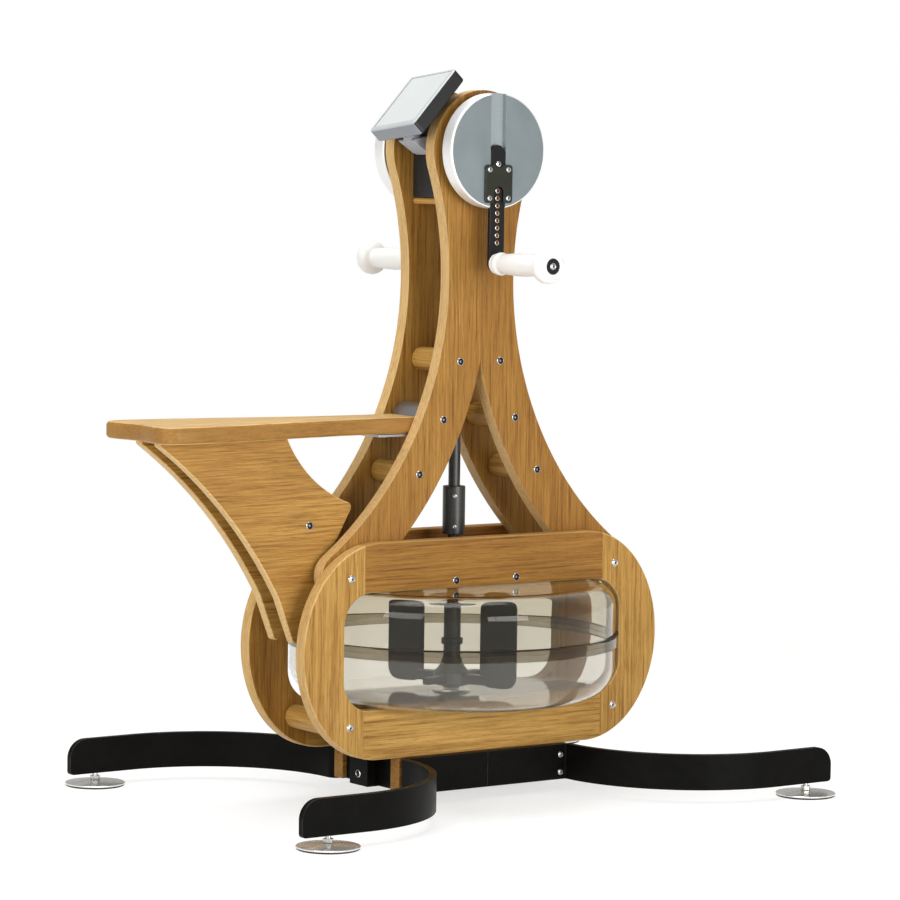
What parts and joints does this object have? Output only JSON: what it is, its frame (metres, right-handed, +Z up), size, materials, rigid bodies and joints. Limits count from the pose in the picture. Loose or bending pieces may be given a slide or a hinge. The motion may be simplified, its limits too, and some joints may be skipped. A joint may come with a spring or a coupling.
{
  "type": "water grinder ergometer",
  "caption": "Upright oak arm-crank trainer with a clear water tank held in twin oak rings, a narrow hook-on seat, spinning grips, bevel-gear drive and curved steel legs.",
  "frame": {"origin": "on the floor under the middle of the machine's bounding box", "axes": "+Z up, -X towards the seated user, +Y along the crank shaft to the side away from the camera in the picture"},
  "size_m": [1.061, 0.7362, 1.1028],
  "materials": {
    "oak": "oiled oak",
    "black_steel": "satin black coating",
    "arm_steel": "black",
    "chrome_foot": "polished",
    "disc_metal": "satin face, polished rim",
    "dark_plate": "dark coated",
    "shaft_steel": "turned",
    "white_grip": "smooth off-white",
    "clear_tank": "clear, smoke tint",
    "dark_plastic": "black",
    "screen": "pale display window",
    "grey_metal": "light grey"
  },
  "bodies": {
    "frame": {"side_panel_front_left": "oak", "side_panel_front_right": "oak", "side_panel_back_left": "oak", "side_panel_back_right": "oak", "ring_top_rail_front": "oak", "ring_top_rail_back": "oak", "ring_bottom_rail_front": "oak", "ring_bottom_rail_back": "oak", "ring_left_end_front": "oak", "ring_right_end_front": "oak", "ring_left_end_back": "oak", "ring_right_end_back": "oak", "panel_dowel_upper_left": "oak", "panel_dowel_upper_right": "oak", "panel_dowel_middle_left": "oak", "panel_dowel_middle_right": "oak", "panel_dowel_lower_left": "oak", "panel_dowel_lower_right": "oak", "panel_dowel_foot_left": "oak", "panel_dowel_foot_right": "oak", "ring_dowel_left": "oak", "ring_dowel_right": "oak", "base_rail_front": "oak", "base_rail_back": "oak", "shaft_bridge": "oak", "gearbox_shelf": "oak", "seat_board": "oak", "seat_bracket_front": "oak", "seat_bracket_back": "oak", "leg_front_left": "black_steel", "leg_front_right": "black_steel", "leg_back_left": "black_steel", "leg_back_right": "black_steel", "base_frame": "black_steel", "crank_bearing_front": "shaft_steel", "crank_bearing_back": "shaft_steel", "tank_bowl": "clear_tank", "tank_lid": "clear_tank", "gearbox_housing": "dark_plastic", "monitor_arm": "grey_metal", "seat_hook": "grey_metal"},
    "crank": {"crank_shaft": "shaft_steel", "crank_gear": "shaft_steel", "crank_disc_front": "disc_metal", "crank_disc_back": "disc_metal", "clamp_plate_front": "dark_plate", "clamp_plate_back": "dark_plate"},
    "drive": {"drive_shaft": "shaft_steel", "shaft_coupling": "dark_plate", "paddle": "dark_plastic"},
    "arm_front": {"crank_arm_front": "arm_steel"},
    "arm_back": {"crank_arm_back": "arm_steel"},
    "handle_front": {"grip_front": "white_grip"},
    "handle_back": {"grip_back": "white_grip"},
    "monitor": {"monitor_case": "dark_plastic", "monitor_screen": "screen"},
    "levelling_foot_front_left": {"foot_front_left": "chrome_foot"},
    "levelling_foot_front_right": {"foot_front_right": "chrome_foot"},
    "levelling_foot_back_left": {"foot_back_left": "chrome_foot"},
    "levelling_foot_back_right": {"foot_back_right": "chrome_foot"}
  },
  "joints": [
    {"name": "crank_turn", "type": "hinge", "parent": "frame", "child": "crank", "pos_m": [0.0425, 0, 0.9808], "axis": [0, 1, 0], "continuous": true},
    {"name": "drive_turn", "type": "hinge", "parent": "frame", "child": "drive", "pos_m": [0.0425, 0, 0.431], "axis": [0, 0, 1], "continuous": true},
    {"name": "arm_slide_front", "type": "slide", "parent": "crank", "child": "arm_front", "axis": [0, 0, 1], "range_m": [0, 0.077]},
    {"name": "arm_slide_back", "type": "slide", "parent": "crank", "child": "arm_back", "axis": [0, 0, 1], "range_m": [0, 0.077]},
    {"name": "grip_spin_front", "type": "hinge", "parent": "arm_front", "child": "handle_front", "pos_m": [0.0425, -0.17, 0.8119], "axis": [0, 1, 0], "continuous": true},
    {"name": "grip_spin_back", "type": "hinge", "parent": "arm_back", "child": "handle_back", "pos_m": [0.0425, 0.17, 0.8119], "axis": [0, 1, 0], "continuous": true},
    {"name": "monitor_tilt", "type": "hinge", "parent": "frame", "child": "monitor", "pos_m": [-0.0529, -0.0043, 1.0089], "axis": [0.0001, -0.9948, 0.1021], "range_deg": [0, 20]},
    {"name": "foot_screw_front_left", "type": "slide", "parent": "frame", "child": "levelling_foot_front_left", "axis": [0, 0, -1], "range_m": [0, 0.012]},
    {"name": "foot_screw_front_right", "type": "slide", "parent": "frame", "child": "levelling_foot_front_right", "axis": [0, 0, -1], "range_m": [0, 0.012]},
    {"name": "foot_screw_back_left", "type": "slide", "parent": "frame", "child": "levelling_foot_back_left", "axis": [0, 0, -1], "range_m": [0, 0.012]},
    {"name": "foot_screw_back_right", "type": "slide", "parent": "frame", "child": "levelling_foot_back_right", "axis": [0, 0, -1], "range_m": [0, 0.012]}
  ],
  "couplings": [
    {"joint": "drive_turn", "follows": "crank_turn", "ratio": 2}
  ]
}
